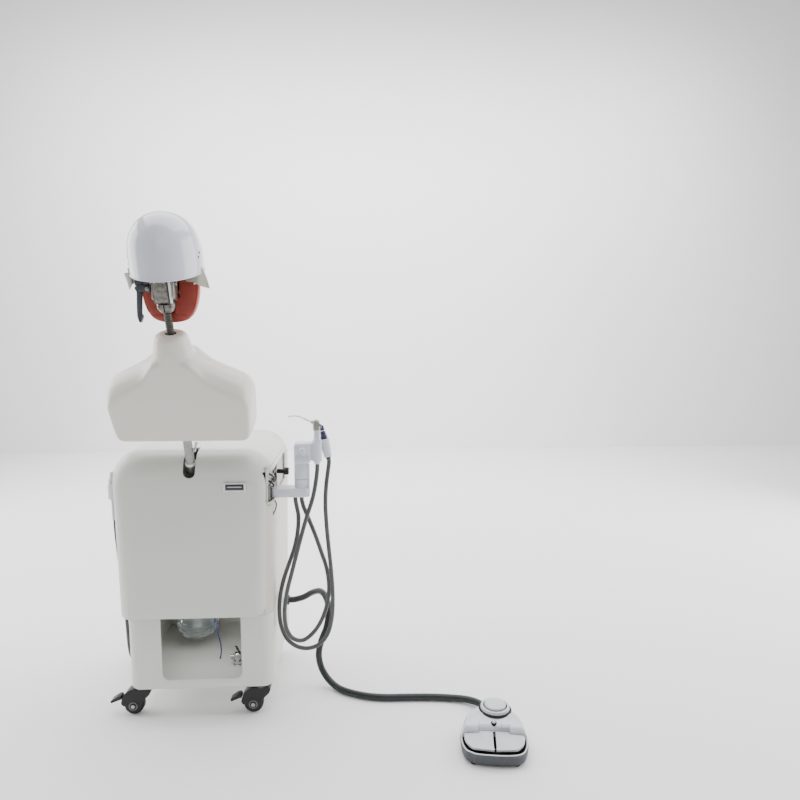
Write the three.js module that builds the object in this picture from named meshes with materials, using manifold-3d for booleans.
// Dental phantom-head simulator: a mobile cabinet that carries a tilting torso
// and a phantom head holding a hinged typodont, with an instrument holder arm,
// hoses and a foot control.  Millimetres, +Z up.
// The working frame has X across the cabinet, -Y toward the operator's side
// (the back of the torso) and the floor at z = 0.  At the end everything is
// shifted so that the origin is the bottom centre of the solid pieces.
import * as THREE from "three";
import { mergeVertices } from "three/addons/utils/BufferGeometryUtils.js";
import Module from "manifold-3d";

const wasm = await Module();
wasm.setup();

// ---------------------------------------------------------------- dimensions
const ORIGIN_X = 260.15, ORIGIN_Y = -115.35;      // bottom centre of the whole object
const CART_W = 400, CART_D = 400, CART_TOP = 690, COVER_BOTTOM = 272;
const COVER_WALL = 4.5, COVER_CORNER = 46;
const BASE_X0 = -170, BASE_X1 = 192, BASE_Y0 = -190, BASE_Y1 = 188;
const BASE_Z0 = 78, BASE_Z1 = 271.6, BASE_WALL = 6;
const BAY_X0 = -89, BAY_X1 = 115, BAY_Z0 = 102;
const SIDE_SLOT_Z0 = 564, SIDE_SLOT_Z1 = 637;
const POLE_SLOT = 27, POLE_SLOT_Z = 627, POLE_SLOT_Y = -128;
const PIVOT = [0, -158, 610];
const LEAN = THREE.MathUtils.degToRad(22);
const POLE_R = 10.5, TORSO_Z0 = 146, TORSO_Z1 = 396;
const HEAD_PIVOT_D = 515;                      // along the leaning axis from PIVOT
const CASTER_X = [-150, 151], CASTER_Y = 150, WHEEL_R = 25, WHEEL_W = 20, TRAIL = 20;
const ARM_Y = -120;
const HOSE_D = 11, FOOT_HOSE_D = 18, SUCTION_D = 10.4;
const FOOT = [730, -333.5], FOOT_YAW = THREE.MathUtils.degToRad(-7.5);

// ------------------------------------------------------------------- helpers
const V2 = (x, y) => new THREE.Vector2(x, y);
const V3 = (p) => new THREE.Vector3(p[0], p[1], p[2]);

function clean(g) {
  let q = g.index ? g.toNonIndexed() : g.clone();
  q.deleteAttribute("normal"); q.deleteAttribute("uv");
  q = mergeVertices(q, 1e-4);
  const idx = q.index.array, out = [];
  for (let i = 0; i < idx.length; i += 3)
    if (idx[i] !== idx[i + 1] && idx[i + 1] !== idx[i + 2] && idx[i] !== idx[i + 2])
      out.push(idx[i], idx[i + 1], idx[i + 2]);
  q.setIndex(out);
  return q;
}
function solid(g) {
  const q = clean(g);
  return new wasm.Manifold(new wasm.Mesh({
    numProp: 3,
    vertProperties: new Float32Array(q.attributes.position.array),
    triVerts: new Uint32Array(q.index.array),
  }));
}
function geo(m) {
  const mesh = m.getMesh();
  const g = new THREE.BufferGeometry();
  g.setAttribute("position", new THREE.BufferAttribute(new Float32Array(mesh.vertProperties), 3));
  g.setIndex(Array.from(mesh.triVerts));
  return g;
}
const M = (x) => (x.isBufferGeometry ? solid(x) : x);
const cut = (a, ...b) => b.reduce((s, t) => s.subtract(M(t)), M(a));
const join = (a, ...b) => b.reduce((s, t) => s.add(M(t)), M(a));

function at(g, x, y, z, rx = 0, ry = 0, rz = 0) {
  g.applyMatrix4(new THREE.Matrix4().makeRotationFromEuler(new THREE.Euler(rx, ry, rz)));
  g.translate(x, y, z);
  return g;
}
const box = (x0, x1, y0, y1, z0, z1) =>
  at(new THREE.BoxGeometry(x1 - x0, y1 - y0, z1 - z0), (x0 + x1) / 2, (y0 + y1) / 2, (z0 + z1) / 2);
// cylinders along each axis; r2 is the radius at the + end
function cylZ(x, y, z0, z1, r, n = 20, r2 = r) {
  return at(new THREE.CylinderGeometry(r2, r, z1 - z0, n), x, y, (z0 + z1) / 2, Math.PI / 2);
}
function cylX(y, z, x0, x1, r, n = 20, r2 = r) {
  return at(new THREE.CylinderGeometry(r, r2, x1 - x0, n), (x0 + x1) / 2, y, z, 0, 0, Math.PI / 2);
}
function cylY(x, z, y0, y1, r, n = 20, r2 = r) {
  return at(new THREE.CylinderGeometry(r2, r, y1 - y0, n), x, (y0 + y1) / 2, z);
}
function rrect(x0, x1, y0, y1, r, n = 4) {      // rounded rectangle, points counter-clockwise
  const p = [];
  const c = [[x1 - r, y1 - r, 0], [x0 + r, y1 - r, 1], [x0 + r, y0 + r, 2], [x1 - r, y0 + r, 3]];
  for (const [cx, cy, q] of c)
    for (let i = 0; i <= n; i++) {
      const a = (q + i / n) * Math.PI / 2;
      p.push([cx + r * Math.cos(a), cy + r * Math.sin(a)]);
    }
  return p;
}
function loft(rings) {                          // rings of equal length, counter-clockwise seen from +axis
  const n = rings[0].length, pos = [], idx = [];
  for (const r of rings) for (const p of r) pos.push(...p);
  for (let k = 0; k + 1 < rings.length; k++)
    for (let i = 0; i < n; i++) {
      const a = k * n + i, b = k * n + (i + 1) % n, c = a + n, d = b + n;
      idx.push(a, b, d, a, d, c);
    }
  const cap = (ring, base, flip) => {
    const c = ring.reduce((s, p) => [s[0] + p[0] / n, s[1] + p[1] / n, s[2] + p[2] / n], [0, 0, 0]);
    const ci = pos.length / 3; pos.push(...c);
    for (let i = 0; i < n; i++) {
      const a = base + i, b = base + (i + 1) % n;
      flip ? idx.push(ci, b, a) : idx.push(ci, a, b);
    }
  };
  cap(rings[0], 0, true);
  cap(rings[rings.length - 1], (rings.length - 1) * n, false);
  const g = new THREE.BufferGeometry();
  g.setAttribute("position", new THREE.Float32BufferAttribute(pos, 3));
  g.setIndex(idx);
  return g;
}
const ringZ = (pts, z) => pts.map(([x, y]) => [x, y, z]);
function prism(pts, axis, a0, a1) {             // outline extruded along one axis
  const s = new THREE.Shape(pts.map((p) => V2(p[0], p[1])));
  const g = new THREE.ExtrudeGeometry(s, { depth: a1 - a0, bevelEnabled: false, curveSegments: 6 });
  g.translate(0, 0, a0);
  if (axis === "x") {                           // (u,v) = (y,z)
    g.applyMatrix4(new THREE.Matrix4().set(0, 0, 1, 0, 1, 0, 0, 0, 0, 1, 0, 0, 0, 0, 0, 1));
  } else if (axis === "y") {                    // (u,v) = (x,z), depth toward -y, then put back
    g.applyMatrix4(new THREE.Matrix4().set(1, 0, 0, 0, 0, 0, -1, 0, 0, 1, 0, 0, 0, 0, 0, 1));
    g.translate(0, a0 + a1, 0);
  }
  return g;
}
function tube(points, r, steps, sides = 10) {
  const path = new THREE.CatmullRomCurve3(points.map(V3), false, "centripetal");
  const s = new THREE.Shape();
  for (let i = 0; i < sides; i++) {
    const a = (i / sides) * 2 * Math.PI;
    i ? s.lineTo(r * Math.cos(a), r * Math.sin(a)) : s.moveTo(r, 0);
  }
  return new THREE.ExtrudeGeometry(s, { steps, extrudePath: path, bevelEnabled: false });
}
function lathe(profile, n = 20) {               // profile [r, z] turned about Z
  const pr = profile.slice(), a = pr[0], b = pr[pr.length - 1];
  if (a[0] > 0 && (a[0] !== b[0] || a[1] !== b[1])) pr.push(a);
  const g = new THREE.LatheGeometry(pr.map(([r, z]) => V2(r, z)), n);
  return at(g, 0, 0, 0, Math.PI / 2);
}

const root = new THREE.Group();
const shift = new THREE.Group();
shift.position.set(-ORIGIN_X, -ORIGIN_Y, 0);
root.add(shift);
function mat(color, roughness = 0.5, metalness = 0) {
  return new THREE.MeshStandardMaterial({ color, roughness, metalness });
}
const WHITE = 0xe9eae6, WARM = 0xd9d5cc, STEEL = 0xa7a9a8, DARK = 0x3a3c3f, BLACK = 0x17181a,
  HOSE = 0x4a4b4d, RED = 0xb4483a, SILVER = 0xc3c7ca, COOL = 0xe3e5ee, PINK = 0xd98a8a, TOOTH = 0xf1e9d6;
function add(name, g, color, rough, metal, parent = shift) {
  const mesh = new THREE.Mesh(g.isBufferGeometry ? clean(g) : geo(g), mat(color, rough, metal));
  mesh.name = name;
  parent.add(mesh);
  return mesh;
}

// ------------------------------------------------------------------- cabinet
// lower tub with the open bay in front
{
  const outer = loft([
    ringZ(rrect(BASE_X0 + 12, BASE_X1 - 12, BASE_Y0 + 12, BASE_Y1 - 12, 18), BASE_Z0),
    ringZ(rrect(BASE_X0 + 3.5, BASE_X1 - 3.5, BASE_Y0 + 3.5, BASE_Y1 - 3.5, 25), BASE_Z0 + 3.5),
    ringZ(rrect(BASE_X0, BASE_X1, BASE_Y0, BASE_Y1, 28), BASE_Z0 + 12),
    ringZ(rrect(BASE_X0, BASE_X1, BASE_Y0, BASE_Y1, 28), BASE_Z1),
  ]);
  const w = BASE_WALL;
  const inner = loft([
    ringZ(rrect(BASE_X0 + w, BASE_X1 - w, BASE_Y0 + w + 4, BASE_Y1 - w, 22), BASE_Z0 + 10),
    ringZ(rrect(BASE_X0 + w, BASE_X1 - w, BASE_Y0 + w + 4, BASE_Y1 - w, 22), BASE_Z1 + 5),
  ]);
  const door = prism(rrect(BAY_X0, BAY_X1, BAY_Z0, BASE_Z1 + 60, 20, 5), "y", BASE_Y0 - 10, BASE_Y0 + 40);
  add("base_tub", cut(outer, inner, door), WHITE, 0.45, 0);
}
// moulded front cover: one piece over the front, the top and the upper sides
function coverSection(y, inset, top) {
  const w = CART_W / 2 - inset, r = 74 - inset * 0.8;
  const p = [[-w + 6, COVER_BOTTOM], [w - 6, COVER_BOTTOM]];
  for (let i = 0; i <= 6; i++) {
    const a = (i / 6) * Math.PI / 2;
    p.push([w - r + r * Math.cos(a), top - r + r * Math.sin(a)]);
  }
  for (let i = 0; i <= 6; i++) {
    const a = Math.PI / 2 + (i / 6) * Math.PI / 2;
    p.push([-w + r + r * Math.cos(a), top - r + r * Math.sin(a)]);
  }
  return p.map(([x, z]) => [x, y, z]);
}
function bodyLoft(wall, zlow) {
  const rings = [], R = 60;
  const ys = [];
  for (let i = 0; i <= 6; i++) ys.push([-CART_D / 2 + R - R * Math.cos((i / 6) * Math.PI / 2), R - R * Math.sin((i / 6) * Math.PI / 2), 1]);
  ys.push([CART_D / 2 - 40, 0, 0]);
  for (let i = 1; i <= 3; i++) ys.push([CART_D / 2 - 40 + 40 * Math.sin((i / 3) * Math.PI / 2), 40 - 40 * Math.cos((i / 3) * Math.PI / 2), 0]);
  for (const [y, d, f] of ys) {
    const yy = y < 0 ? y + wall * (d / R) : y - wall * Math.min(1, Math.max(0, (y - 100) / 100));
    const side = f ? d * 0.72 : d;
    rings.push(coverSection(yy, wall + side, CART_TOP - wall - d).map(([x, q, z]) => [x, q, z < COVER_BOTTOM + 1 ? zlow : z]));
  }
  return loft(rings.map((r) => r.slice().reverse()));
}
const slotCut = () => {                         // slot that the torso pole leans through
  const w = POLE_SLOT / 2, p = [];
  for (let i = 0; i <= 8; i++) {
    const a = Math.PI + (i / 8) * Math.PI;
    p.push([w * Math.cos(a), POLE_SLOT_Z + w + w * Math.sin(a)]);
  }
  p.push([w, CART_TOP + 20], [-w, CART_TOP + 20]);
  return prism(p, "y", -CART_D / 2 - 10, POLE_SLOT_Y);
};
{
  const outer = M(bodyLoft(0, COVER_BOTTOM));
  const inner = M(bodyLoft(COVER_WALL, COVER_BOTTOM - 20));
  const sides = box(-260, 260, -188, 260, COVER_BOTTOM - 40, SIDE_SLOT_Z1);
  const back = box(-260, 260, 150, 260, COVER_BOTTOM - 40, CART_TOP + 40);
  add("front_cover", cut(outer, inner, sides, back, slotCut()), WHITE, 0.4, 0);

  const w2 = COVER_WALL;
  const shellOut = M(bodyLoft(1.5, COVER_BOTTOM));
  const keep = join(box(-260, 260, -187.4, 260, COVER_BOTTOM - 1, SIDE_SLOT_Z1 - 0.5),
    box(-260, 260, 150.5, 260, COVER_BOTTOM - 1, CART_TOP + 40));
  const shellIn = M(bodyLoft(w2 + 1.5, COVER_BOTTOM - 20));
  const notchR = box(150, 260, -200, 96, SIDE_SLOT_Z0 - 6, SIDE_SLOT_Z1 + 5);
  add("rear_shell", cut(shellOut.intersect(keep), shellIn, notchR), WARM, 0.5, 0);
}
// steel chassis: deck on the tub, two posts and the pivot cheeks for the pole
{
  const deck = box(-166, 176, -180, 180, 272, 276);
  const posts = join(box(-34, -24, -190 + 14, -140, 275, 588), box(24, 34, -190 + 14, -140, 275, 588));
  const tie = box(-34, 34, -160, -140, 540, 560);
  const cheek = (x0) => prism([[-176, 586], [-140, 586], [-140, 612], [-146, 622], [-158, 626], [-170, 622], [-176, 612]], "x", x0, x0 + 8);
  const pin = cylX(PIVOT[1], PIVOT[2], -33, 33, 7, 16);
  const neckHole = cylZ(-45, 20, 260, 290, 26, 20);
  add("pivot_frame", cut(join(deck, posts, tie, cheek(-33), cheek(25), pin), neckHole), STEEL, 0.4, 0.9);
}
// clear waste bottle hanging under the deck and the drain fitting beside it
{
  const b = lathe([[0, 128], [38, 131], [55, 145], [59, 162], [59, 250], [24, 267], [24, 300], [0, 300]], 18);
  const hollow = lathe([[0, 131], [36, 134], [52, 147], [56, 162], [56, 248], [20, 264], [20, 310], [0, 310]], 18);
  add("waste_bottle", cut(at(b, -45, 20, 0), at(hollow, -45, 20, 0)), 0xdfe6e6, 0.1, 0);
  const f = join(cylZ(84, -84, 88.3, 122, 11, 12), cylX(-84, 108, 66, 102, 6.5, 10), cylZ(84, -84, 118, 126, 7, 6),
    at(box(-3, 3, -20, 20, -2, 2), 84, -84, 128));
  add("drain_fitting", f, STEEL, 0.3, 1);
}
// badge plate on the cover
add("badge", cut(prism(rrect(76, 136, 594, 613, 3, 2), "y", -203.4, -200.3), box(83, 129, -204, -202, 598, 609)), SILVER, 0.35, 0.6);

// ------------------------------------------------------------ instrument arm
const AX = 259;                                  // column axis
{
  const p = rrect(189, 285, ARM_Y - 22, ARM_Y + 22, 10, 3);
  const arm = loft([ringZ(p, 561), ringZ(p, 584)]);
  const col = lathe([[0, 561], [19, 561], [19.5, 606.6], [0, 606.6]], 18);
  const spigot = cylZ(AX + 7, ARM_Y, 600, 640, 9, 16);
  add("holder_arm", join(arm, at(col, AX + 7, ARM_Y, 0), spigot), COOL, 0.45, 0);
  // bracket plate inside the cabinet with two bosses for the arm
  const br = join(box(178, 188.6, -160, -60, 552, 596), box(150, 188.6, -150, -70, 552, 558));
  add("side_bracket", br, STEEL, 0.35, 0.9);
}
const HX = AX + 7;
{
  const col = lathe([[9.6, 607.2], [19.6, 607.2], [19.2, 653], [0, 653], [0, 641], [9.6, 641]], 18);
  const colS = at(col, HX, ARM_Y, 0);
  const head = loft([
    ringZ(rrect(248, 290, ARM_Y - 24, ARM_Y + 24, 6, 2), 652),
    ringZ(rrect(248, 290, ARM_Y - 24, ARM_Y + 24, 6, 2), 694),
    ringZ(rrect(251, 290, ARM_Y - 21, ARM_Y + 21, 6, 2), 700),
  ]);
  const knob = join(cylY(270, 680, ARM_Y - 28, ARM_Y - 20, 11, 20), cylY(270, 680, ARM_Y - 31, ARM_Y - 27, 7.5, 16));
  const cup1 = cut(join(cylZ(306, ARM_Y - 8, 652, 704, 12.5, 18), box(286, 300, ARM_Y - 16, ARM_Y, 656, 700)),
    cylZ(306, ARM_Y - 8, 645, 710, 8.6, 14));
  const c2 = at(new THREE.CylinderGeometry(12, 10, 46, 18), 0, 0, 0, Math.PI / 2);
  const c2b = at(new THREE.CylinderGeometry(8.6, 7.9, 60, 14), 0, 0, 0, Math.PI / 2);
  const tilt = -0.2;
  at(c2, 328, ARM_Y + 12, 682, 0, tilt); at(c2b, 328, ARM_Y + 12, 682, 0, tilt);
  const web = box(286, 322, ARM_Y + 6, ARM_Y + 18, 662, 694);
  const cup2 = cut(join(c2, web), c2b);
  add("holder_head", join(colS, head, knob, cut(join(cup1, cup2), cylZ(306, ARM_Y - 8, 645, 710, 8.6, 14), c2b)), COOL, 0.45, 0);
}
// three-way syringe: barrel with a hollow tail over its hose, metal head, bent nozzle
{
  const y = ARM_Y - 8;
  const barrel = lathe([[6.2, 645], [7.2, 645], [7.6, 652], [7.6, 704.6], [10.4, 705.2], [8, 712], [7.2, 731], [0, 731], [0, 652], [6.2, 652]], 14);
  const headBlock = loft([ringZ(rrect(296, 315, y - 8, y + 8, 4, 2), 730.5), ringZ(rrect(296, 314, y - 8, y + 8, 4, 2), 752),
    ringZ(rrect(298, 311, y - 6.5, y + 6.5, 4, 2), 759)]);
  add("syringe_body", cut(join(at(barrel, 306, y, 0), headBlock),
    cylX(y - 3.8, 745, 311, 320, 3.4, 14), cylX(y + 3.8, 738, 311, 320, 3.4, 14)), COOL, 0.35, 0.2);
  add("syringe_nozzle", tube([[295.4, y, 752], [286, y, 756], [272, y, 763], [256, y, 768.5], [244, y, 768.5], [233, y, 766.5]], 1.7, 16, 8), STEEL, 0.2, 1);
  add("air_button", cylX(y - 3.8, 745, 313.6, 318, 3, 14), 0x8b96a8, 0.4, 0);
  add("water_button", cylX(y + 3.8, 738, 313.6, 318, 3, 14), 0x8b96a8, 0.4, 0);
}
// second instrument, a straight dark handpiece in the slanted cup
{
  const tilt = -0.2;
  const h = lathe([[6.3, -27], [7.3, -27], [7.3, -20], [7, -14], [7, 24], [9.6, 25], [8.4, 34], [6, 44], [5.4, 58], [3, 61], [0, 61], [0, -14], [6.3, -14]], 14);
  add("handpiece", at(h, 328, ARM_Y + 12, 682, 0, tilt), DARK, 0.35, 0.3);
}
// control valve knob under the holder
add("control_knob", join(cylX(ARM_Y + 60, 612, 196.5, 214, 6, 12), cylX(ARM_Y + 60, 612, 213, 226, 9, 12)), BLACK, 0.35, 0.2);

// -------------------------------------------------------------- suction side
const SUCTION_LOW = 44;                         // holder height below the arm side
{
  const arm = join(box(-262, -198.9, 36, 60, 574 - SUCTION_LOW, 590 - SUCTION_LOW),
    cut(cylZ(-272, 48, 560 - SUCTION_LOW, 604 - SUCTION_LOW, 15, 20), cylZ(-272, 48, 550 - SUCTION_LOW, 610 - SUCTION_LOW, 10, 20)));
  add("suction_holder", cut(arm, cylZ(-272, 48, 550 - SUCTION_LOW, 610 - SUCTION_LOW, 10, 20)), COOL, 0.45, 0);
  const h = lathe([[5.5, 500], [6.6, 500], [7.4, 550], [9, 562], [9.2, 604.6], [12.6, 605.2], [12, 613], [8.5, 618], [8.5, 632], [5, 636], [0, 636], [0, 560], [5.5, 560]], 14);
  add("suction_handle", at(h, -272, 48, -SUCTION_LOW), 0xbfc2c6, 0.4, 0);
}

// ------------------------------------------------------------------ the torso
const torso = new THREE.Group();
torso.position.set(...PIVOT);
torso.rotation.x = LEAN;
shift.add(torso);
function torsoOutline(k, drop, low) {
  // half outline of the torso across its width at one depth
  const half = [[0, TORSO_Z0 - low], [120, TORSO_Z0 - low], [143, TORSO_Z0 + 4], [155, TORSO_Z0 + 15], [161, 180], [164, 215], [164, 250 - drop],
    [160, 273 - drop], [149, 285 - drop], [125, 297 - drop], [98, 311 - drop], [70, 327 - drop * 0.9], [52, 342 - drop * 0.6], [40, 352 - drop * 0.5], [0, 352 - drop * 0.5]];
  const h = half.map(([x, z]) => [x * k, z]);
  const right = h.slice(0, -1), left = h.slice(1).reverse().map(([x, z]) => [-x, z]);
  return [...right, [0.001, h[h.length - 1][1]], ...left.slice(1)];
}
function torsoLoft(inset) {
  const T = [[-44, 0.93, 32, -4], [-36, 0.965, 24, -1], [-18, 0.99, 9, 0], [8, 1, 0, 0], [36, 0.98, 5, -1], [55, 0.9, 26, -10]];
  const rings = T.map(([y, k, d, l]) => {
    const yy = y < 0 ? Math.max(y, -44 + inset) : Math.min(y, 55 - inset);
    return torsoOutline(k, d, l).map(([x, z]) => {
      const xs = Math.sign(x) * Math.max(0, Math.abs(x) - inset);
      const zs = z < 200 ? (inset ? z - 30 : z) : z - inset * 1.1;
      return [xs, yy + (inset && y < -40 ? -0.0 : 0), zs];
    });
  });
  // keep the inner rings strictly ordered in depth
  for (let i = 1; i < rings.length; i++)
    if (rings[i][0][1] <= rings[i - 1][0][1]) rings[i] = rings[i].map(([x, , z]) => [x, rings[i - 1][0][1] + 0.5, z]);
  return loft(rings.map((r) => r.slice().reverse()));
}
{
  const neck = lathe([[0, 300], [45, 300], [43, 345], [39, 366], [36, 387], [33, 393], [28, 396], [0, 396]], 20);
  const neckIn = lathe([[0, 296], [40, 296], [38, 345], [32, 386], [0, 390]], 20);
  const body = join(torsoLoft(0), neck);
  const cav = join(torsoLoft(4), neckIn);
  const hole = cylZ(0, 0, 380, 410, 12, 20);
  add("torso_shell", cut(body, cav, hole), WARM, 0.5, 0, torso);
  // pole with a forked eye on the pivot pin and cross plates that carry the shell
  const pole = join(cylZ(0, 0, 14, 330, POLE_R, 16), cylX(0, 0, -12, 12, 15, 20), cylZ(0, 0, 6, 30, 11.5, 16),
    cylZ(0, 0, 52, 57, 12.2, 16), box(-120, 120, -12, 12, 196, 202), box(-80, 80, -10, 10, 290, 295));
  add("torso_pole", cut(pole, cylX(0, 0, -40, 40, 7.4, 16)), STEEL, 0.35, 0.9, torso);
  add("neck_rod", join(cylZ(0, 0, 330.4, 498, 8, 20), cylZ(0, 0, 330.4, 378, 11, 16)), STEEL, 0.3, 1, torso);
}
add("tilt_lever", join(cylX(0, 92, 10.9, 17, 4.5, 12), at(box(13, 17, -3, 3, 0, 22), 0, 0, 90, -0.5)), DARK, 0.5, 0.3, torso);

// ------------------------------------------------------------- neck and clamp
const neck = new THREE.Group();
neck.position.set(...PIVOT);
neck.rotation.x = LEAN;
shift.add(neck);
add("neck_collar", lathe([[8.4, 451], [15.5, 451], [19.5, 458], [19.5, 471.6], [8.4, 471.6]], 12).scale(1, 1, 1), STEEL, 0.35, 1, neck);
{
  const b = prism([[-15, 472], [15, 472], [15, 515], [13.9, 522], [9.4, 528], [3, 531], [-3, 531], [-9.4, 528], [-13.9, 522], [-15, 515]], "x", -20, 20);
  add("neck_block", cut(b, cylZ(0, 0, 465, 502, 8.4, 20), cylX(0, 515, -30, 30, 5.6, 16)), STEEL, 0.35, 1, neck);
  add("clamp_screw", join(cylX(0, 515, -56, 27.5, 5.2, 16), cylX(0, 515, 27, 33, 9, 6)), STEEL, 0.3, 1, neck);
}
{
  const hub = cut(cylX(0, 515, -57, -27, 11, 16), cylX(0, 515, -56.6, -20, 5.5, 16));
  const plumb = ([y, z]) => [y * Math.cos(LEAN) + (z - 515) * Math.sin(LEAN), 515 - y * Math.sin(LEAN) + (z - 515) * Math.cos(LEAN)];
  const lever = prism([[-6, 518], [6, 518], [5, 470], [6.5, 452], [1, 434], [-3.5, 438], [-5.5, 455], [-5, 480]].map(plumb), "x", -57, -48);
  add("clamp_lever", cut(join(hub, lever), cylX(0, 515, -56.6, -20, 5.5, 16)), 0x4b4d50, 0.45, 0.5, neck);
}

// -------------------------------------------------------------------- the head
const head = new THREE.Group();
head.position.set(0, PIVOT[1] - HEAD_PIVOT_D * Math.sin(LEAN), PIVOT[2] + HEAD_PIVOT_D * Math.cos(LEAN));
shift.add(head);
// head frame: origin on the nod axis, +y toward the face, +z up
function ringE(a, bf, br, yc, z, n = 28, e = 1) {
  const p = [];
  for (let i = 0; i < n; i++) {
    const t = (i / n) * 2 * Math.PI, s = Math.sin(t), c = Math.cos(t);
    const ss = Math.sign(s) * Math.abs(s) ** e, cc = Math.sign(c) * Math.abs(c) ** e;
    p.push([a * cc, yc + (s > 0 ? bf : br) * ss, z]);
  }
  return p;
}
const HC = 16, HB = 95, HA = 79, HZC = 62.5, HTOP = 149.5;
function dome(off) {
  const rings = [];
  for (const z of [-20, 25, HZC]) {
    const k = 1 - 0.03 * ((HZC - z) / 70) ** 2;
    rings.push(ringE(HA * k - off, HB * k - off, HB * k - off, HC, z, 26));
  }
  for (let i = 1; i <= 6; i++) {
    const a = (i / 6.3) * Math.PI / 2, c = Math.cos(a) ** 0.86;
    rings.push(ringE((HA - off) * c, (HB - off) * c, (HB - off) * c, HC, HZC + (HTOP - HZC - off) * Math.sin(a), 26));
  }
  return loft(rings);
}
{
  const rim = at(box(-150, 150, -200, 200, -160, 0), 0, HC, 25.5, Math.atan(0.316));
  const posts = join(cylZ(22, 6, 25.3, 170, 4, 10), cylZ(-22, 6, 25.3, 170, 4, 10));
  const shell = cut(dome(0), dome(4), rim);
  const inside = M(dome(2));
  add("helmet", join(shell, posts.intersect(inside)), 0xf1f2f5, 0.12, 0, head);
}
{
  const cheekPts = [[-14, -34], [12, -38], [14, 12], [14, 25], [-14, 25], [-16, 0]];
  const cheekL = cut(prism(cheekPts, "x", -26, -20.4), cylX(0, 0, -30, -10, 5.6, 16));
  const cheekR = cut(prism(cheekPts, "x", 20.4, 26), cylX(0, 0, 10, 30, 5.6, 16));
  const bridge = box(-30, 30, -14, 54, 19.4, 25);
  const plate = box(-17, 17, 48, 54, -28, 22);
  const upArm = box(-17, 17, 50, 106, 0, 5);
  const lugs = join(box(-17, -12, 50, 66, -26, -10), box(12, 17, 50, 66, -26, -10));
  const pin = cylX(60, -18, -16, 16, 2.6, 12);
  add("skull_frame", join(cheekL, cheekR, bridge, plate, upArm, lugs, pin), STEEL, 0.35, 0.95, head);
}
// side flaps that clip the mask under the helmet rim
function flap(s) {
  const prof = [[60.5, 40], [63.5, 40], [66.5, 20], [87, -8], [84.5, -10], [63.5, 18]];
  const g = prism(prof.map(([x, z]) => [x, z]), "y", -12, 44);
  if (s < 0) { g.scale(-1, 1, 1); const i = clean(g); const a = i.index.array; for (let k = 0; k < a.length; k += 3) { const t = a[k]; a[k] = a[k + 1]; a[k + 1] = t; } return i; }
  return g;
}
add("mask_clip_right", flap(1), 0xbdb9ae, 0.55, 0, head);
add("mask_clip_left", flap(-1), 0xbdb9ae, 0.55, 0, head);
// rubber face mask: open behind, mouth open in front
function maskRings(off) {
  // z, half width, front reach (y), rear y, roundness
  const T = [[-84, 8, 84, 74, 1], [-82, 24, 98, 66, 1], [-74, 40, 108, 61, 0.9], [-56, 53, 116, 57, 0.82],
    [-34, 60, 119, 57, 0.78], [-6, 64, 115, 57, 0.8], [18, 64, 108, 57, 0.95], [36, 61, 101, 57, 1], [52, 57, 94, 57, 1]];
  return T.map(([z, a, f, r, e], i) => {
    const yc = 62, zz = off ? (i === 0 ? z + off : i < 3 ? z + off * 0.7 : i === T.length - 1 ? z + off : z) : z;
    return ringE(Math.max(2, a - off), Math.max(2, f - yc - off), yc - r + (off ? 40 : 0), yc, zz, 24, e);
  });
}
{
  const outer = M(loft(maskRings(0)));
  const inner = M(loft(maskRings(3.2)));
  const rear = box(-90, 90, 20, 61.6, -100, 70);
  const mouth = prism(Array.from({ length: 18 }, (_, i) => { const t = (i / 18) * 2 * Math.PI; return [27 * Math.cos(t), -38 + 15 * Math.sin(t)]; }), "y", 90, 150);
  const nose = loft([
    ringE(9, 14, 4, 110, -16, 14), ringE(13, 22, 6, 108, -10, 14), ringE(9, 15, 6, 108, 8, 14), ringE(6, 7, 6, 106, 24, 14),
  ]);
  add("face_mask", cut(join(outer, M(nose)), inner, rear, mouth), RED, 0.6, 0, head);
  const plateZ0 = -84.5;
  const shroud = M(loft(maskRings(0))).intersect(M(box(-90, 90, 57.4, 61.2, plateZ0, 36)));
  add("cavity_shroud", cut(shroud, box(-22, 22, 50, 70, -63, 60)), 0x9c3a30, 0.65, 0, head);
}
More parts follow.
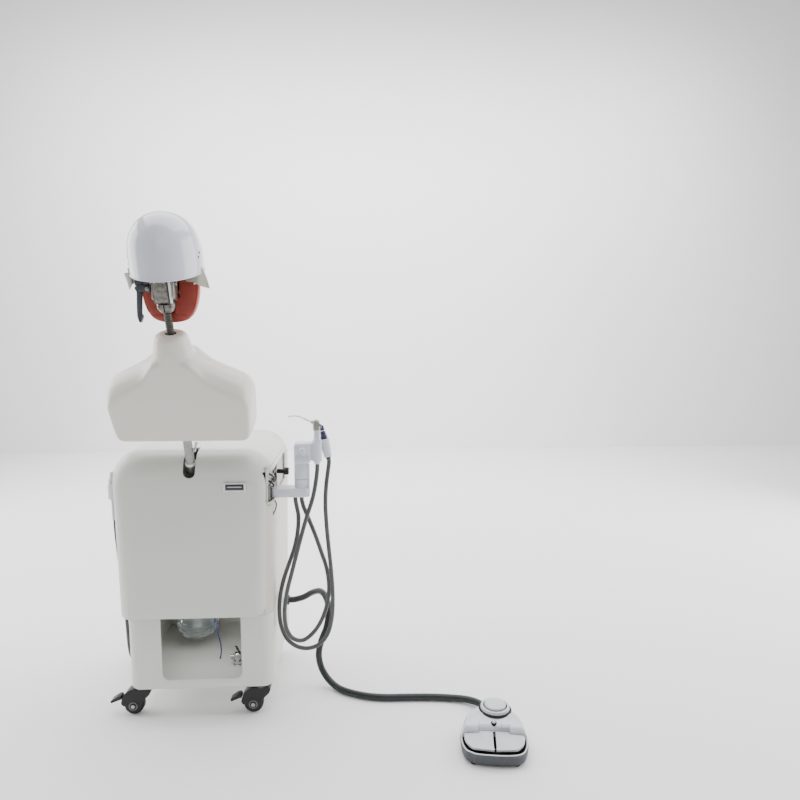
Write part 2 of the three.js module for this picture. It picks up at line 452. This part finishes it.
// typodont: horseshoe gums with teeth, upper fixed, lower hinged
function archPts(a, b, n, y0) {                  // parabola-like arch, open toward -y
  const p = [];
  for (let i = 0; i <= n; i++) {
    const t = -Math.PI * 0.5 + (i / n) * Math.PI;
    p.push([a * Math.sin(t), y0 + b * Math.cos(t) ** 0.85]);
  }
  return p;
}
function horseshoe(ao, bo, ai, bi, y0, z0, z1, k0 = 1, k1 = 1) {
  const k = (z) => k0 + ((k1 - k0) * (z - z0)) / (z1 - z0);
  const ring = (pts, z) => pts.map(([x, y]) => [x * k(z), y0 + (y - y0) * k(z), z]).reverse();
  const out = archPts(ao, bo, 14, y0), inn = [...archPts(ai, bi, 14, y0), [ai, y0 - 6], [-ai, y0 - 6]];
  return cut(loft([ring(out, z0), ring(out, z1)]), loft([ring(inn, z0 - 1), ring(inn, z1 + 1)]));
}
const TY = 68;                                   // back of the arches
{
  const gum = horseshoe(31, 41, 18, 27, TY, -28.6, -15, 0.93, 1);
  const plate = loft([ringZ(archPts(31, 41, 14, TY).reverse(), -15.2), ringZ(archPts(31.5, 41.5, 14, TY).reverse(), -8)]);
  const stud = cylZ(0, 88, -9, -0.4, 6, 12);
  add("upper_jaw", join(gum, plate, stud), PINK, 0.4, 0, head);
  const gumL = horseshoe(31, 41, 18, 27, TY, -55, -42.4, 1, 0.93);
  const plateL = loft([ringZ(archPts(31.5, 41.5, 14, TY).reverse(), -60), ringZ(archPts(31, 41, 14, TY).reverse(), -54.8)]);
  add("lower_jaw", cut(join(gumL, plateL, box(-9, 9, 58, 72, -58, -52), box(-9, 9, 58, 63, -58, -20),
    cylX(60, -18, -11, 11, 5.6, 14)), cylX(60, -18, -20, 20, 3.2, 12), box(9.4, 40, 50, 76, -70, -40), box(-40, -9.4, 50, 76, -70, -40)), PINK, 0.4, 0, head);
}
function toothRow(z0, z1, up) {
  const N = 14, parts = [];
  for (let i = 0; i < N; i++) {
    const u = (i + 0.5) / N * 2 - 1;
    const t = u * 1.42, x = 26 * Math.sin(t), y = TY + 35.5 * Math.cos(t) ** 0.85;
    const rot = -Math.atan2(x / 27.5 ** 1, Math.cos(t) + 0.05) * 0.9;
    const back = Math.abs(u) > 0.5;
    const w = back ? 9.4 : 7.6, d = back ? 9.6 : 6;
    const g = new THREE.BoxGeometry(w, d, z1 - z0);
    at(g, x, y, (z0 + z1) / 2, 0, 0, rot);
    parts.push(M(g));
  }
  return parts.reduce((s, p) => s.add(p));
}
add("upper_teeth", toothRow(-36.4, -28.9, true), TOOTH, 0.25, 0, head);
add("lower_teeth", toothRow(-42.1, -36.8, false), TOOTH, 0.25, 0, head);

// --------------------------------------------------------------------- casters
const CASTERS = { front_left: [CASTER_X[0], -CASTER_Y], front_right: [CASTER_X[1] + 5, -CASTER_Y - 8], rear_left: [CASTER_X[0], CASTER_Y], rear_right: [CASTER_X[1], CASTER_Y] };
for (const [n, [cx, cy]] of Object.entries(CASTERS)) {
  const g = new THREE.Group();
  g.position.set(cx, cy, 0);
  shift.add(g);
  const hood = prism([[-50, 34], [-46, 26], [-8, 26], [4, 40], [22, 56], [24, 66], [14, 70], [-22, 70], [-36, 62], [-46, 48]], "y", -15.5, 15.5);
  const wheelGap = cylY(-TRAIL, WHEEL_R, -11.6, 11.6, 28, 16);
  const fork = join(cut(hood, wheelGap), cylZ(0, 0, 68, 77.6, 22, 14), cylY(-TRAIL, WHEEL_R, -12, 12, 4, 12),
    box(-26, -14, -15.5, -11.6, 20, 40), box(-26, -14, 11.6, 15.5, 20, 40));
  add("caster_fork_" + n, fork, BLACK, 0.5, 0.1, g);
  const wl = lathe([[4.4, -10], [22, -10], [WHEEL_R, -7], [WHEEL_R, 7], [22, 10], [4.4, 10]], 20);
  const w = at(wl, 0, 0, 0, Math.PI / 2);
  add("caster_wheel_" + n, at(w, -TRAIL, 0, WHEEL_R), 0x4d4f52, 0.5, 0, g);
  const brake = join(prism([[-49.2, 42], [-52.6, 50], [-60, 48], [-78, 36], [-76, 32], [-58, 40]], "y", -11, 11));
  add("caster_brake_" + n, brake, BLACK, 0.5, 0, g);
}

// ---------------------------------------------------------------- foot control
const foot = new THREE.Group();
foot.position.set(FOOT[0], FOOT[1], 0);
foot.rotation.z = FOOT_YAW;
shift.add(foot);
function footOutline(k, grow = 0) {
  // plan outline: round at the back, straighter sides, blunt front
  const p = [[-48, -88], [48, -88], [66, -78], [76, -56], [79, -30], [78, 0], [72, 28], [58, 54], [36, 72], [12, 80], [-12, 80], [-36, 72], [-58, 54], [-72, 28], [-78, 0], [-79, -30], [-76, -56], [-66, -78]];
  return p.map(([x, y]) => [x * k + Math.sign(x) * grow, y * k + Math.sign(y) * grow]);
}
{
  const b0 = loft([ringZ(footOutline(0.88), 0), ringZ(footOutline(0.96), 5), ringZ(footOutline(1), 24), ringZ(footOutline(0.985), 30)]);
  add("foot_base", cut(b0, loft([ringZ(footOutline(0.9), 12), ringZ(footOutline(0.93), 40)])), 0x85898c, 0.5, 0, foot);
  // hood: a wedge dome, high at the back, sloping to the front
  const hoodRing = (k, z) => footOutline(k).map(([x, y]) => [x, y, z]);
  let hood = M(loft([hoodRing(0.965, 30.4), hoodRing(0.93, 40), hoodRing(0.85, 52), hoodRing(0.72, 62), hoodRing(0.55, 69)]));
  hood = join(hood, cylZ(6, 44, 40, 72, 36, 28, 31));
  const slope = at(box(-120, 120, -200, 0, 0, 90), 0, -4, 62, 0.42);
  const front = box(-100, 100, -120, -18, 20, 120);
  hood = cut(hood, slope, front);
  hood = cut(hood, cylZ(6, 44, 58, 80, 29.4, 28), cylZ(0, -8, 30, 80, 4.6, 14), loft([ringZ(footOutline(0.88), 25), ringZ(footOutline(0.8), 40)]));
  add("foot_cover", hood, SILVER, 0.4, 0, foot);
  add("foot_disc", lathe([[0, 63], [28.6, 63], [28.8, 74], [26, 77.5], [0, 79]], 28).translate(6, 44, 0), SILVER, 0.35, 0, foot);
  add("foot_peg", cylZ(0, -8, 41, 62, 4, 14), SILVER, 0.4, 0, foot);
  const pedal = (s) => {
    const pts = [[1.6, -20], [69, -20], [70, -30], [69.5, -46], [62, -62], [50, -73], [1.6, -77]];
    const P = pts.map(([x, y]) => [s * x, y]);
    const ring = (zf, zr) => P.map(([x, y]) => [x, y, zf + (zr - zf) * ((y + 77) / 57)]);
    const lo = ring(31, 38), hi = ring(37, 46);
    const body = s > 0 ? loft([lo.slice().reverse(), hi.slice().reverse()]) : loft([lo, hi]);
    const step = [[36, -14], [36, -26], [74, -30.4], [74, -14]].map(([x, y]) => [s * x, y]);
    return cut(body, prism(s > 0 ? step : step.reverse(), "z", 20, 60));
  };
  add("pedal_right", pedal(1), SILVER, 0.4, 0, foot);
  add("pedal_left", pedal(-1), SILVER, 0.4, 0, foot);
}

// ----------------------------------------------------------------------- hoses
const HOSE_A = [[262, -101, 560.2], [262, -101, 552], [262.6, -101, 544], [266.5, -101.5, 527], [277, -102, 500], [294, -103, 456], [311, -104, 405], [325, -104, 358], [330.5, -105, 306], [324, -108, 258], [308, -114, 216],
  [285, -121, 186], [260, -127, 172], [236, -132, 181], [221, -136, 209], [216.5, -138, 251], [223, -140, 305], [238, -141, 365], [251, -141, 414], [262, -139, 455], [277, -135, 507],
  [293, -131.5, 556], [301.5, -129, 598], [305.3, -128, 628], [306, -128, 644], [306, -128, 650.4]];
const HOSE_B = [[247, -112, 560.4], [247, -112, 550], [250, -112, 530], [254, -113, 505], [252, -116, 465], [243, -118, 422], [229, -119, 381], [215, -120, 341], [204.5, -120, 296], [201, -121, 255], [205, -122, 212],
  [220, -122, 175], [246, -122, 153], [276, -121, 147], [306, -120, 158], [327, -119, 186], [338, -119, 230], [341, -119, 284], [338, -118.5, 352], [332, -118, 419], [326.5, -117, 486], [324.5, -115, 540], [327, -112, 585],
  [331.5, -109.5, 620], [334.9, -108, 648], [334.2, -108, 651.5], [333.4, -108, 655.5], [333, -108, 657.5]];
const FOOT_ROUTE = [[192.6, 120, 180], [207, 120, 180], [213.5, 119.7, 180.2], [241.7, 112.6, 190], [270.5, 94.5, 211.5], [297.6, 56.9, 229.9], [315.5, 19, 225.8], [324, -13.6, 202], [319.1, -33.4, 166], [302.7, -37.2, 122.1],
  [296.3, -35.7, 82.4], [303, -39.7, 49.4], [319.8, -51.2, 24.5], [342, -70, 11.2], [370, -95, 9.4], [424, -122, 9.4], [477, -133, 9.4], [530.7, -134.7, 9.4], [584, -137, 9.4], [623, -140.5, 9.4],
  [657, -146.5, 9.8], [686.4, -155.3, 11], [705.2, -166.1, 12.5], [721.1, -182.9, 14.5], [732.5, -207.4, 17], [734.5, -237.8, 19.5], [732.6, -252.9, 20]];
const SUCTION_ROUTE = [[-272, 48, 515], [-272, 48, 486], [-272, 48, 453], [-271.5, 49, 420], [-269, 51, 370], [-264, 55, 290], [-259, 58, 200], [-256.5, 60, 140], [-256, 63, 95], [-256, 70, 60], [-256, 84, 34], [-255, 104, 24],
  [-254, 124, 32], [-252, 141, 56], [-249, 150, 92], [-243, 154, 130], [-233, 154, 170], [-216, 151, 205], [-199, 150, 222]];
const BLUE_ROUTE = [[36, -150, 271], [36.5, -150, 262], [39.1, -150, 247], [44.5, -149, 217], [51, -147, 184], [53, -146, 163], [51.5, -145, 147], [49, -144, 136]];
add("hose_syringe", tube(HOSE_A, HOSE_D / 2, 30, 8), HOSE, 0.6, 0);
add("hose_handpiece", tube(HOSE_B, HOSE_D / 2, 28, 8), HOSE, 0.6, 0);
add("foot_hose", tube(FOOT_ROUTE, FOOT_HOSE_D / 2, 26, 8), 0x2f3338, 0.55, 0);
add("suction_hose", tube(SUCTION_ROUTE, SUCTION_D / 2, 20, 8), HOSE, 0.6, 0);
add("blue_tube", tube(BLUE_ROUTE, 1.8, 8, 8), 0x23305e, 0.4, 0);
// gland where the foot hose leaves the tub
add("hose_gland", join(cut(cylX(120, 180, 192.3, 199, 14, 18), cylX(120, 180, 190, 210, 10.2, 18))), DARK, 0.5, 0);

export default root;
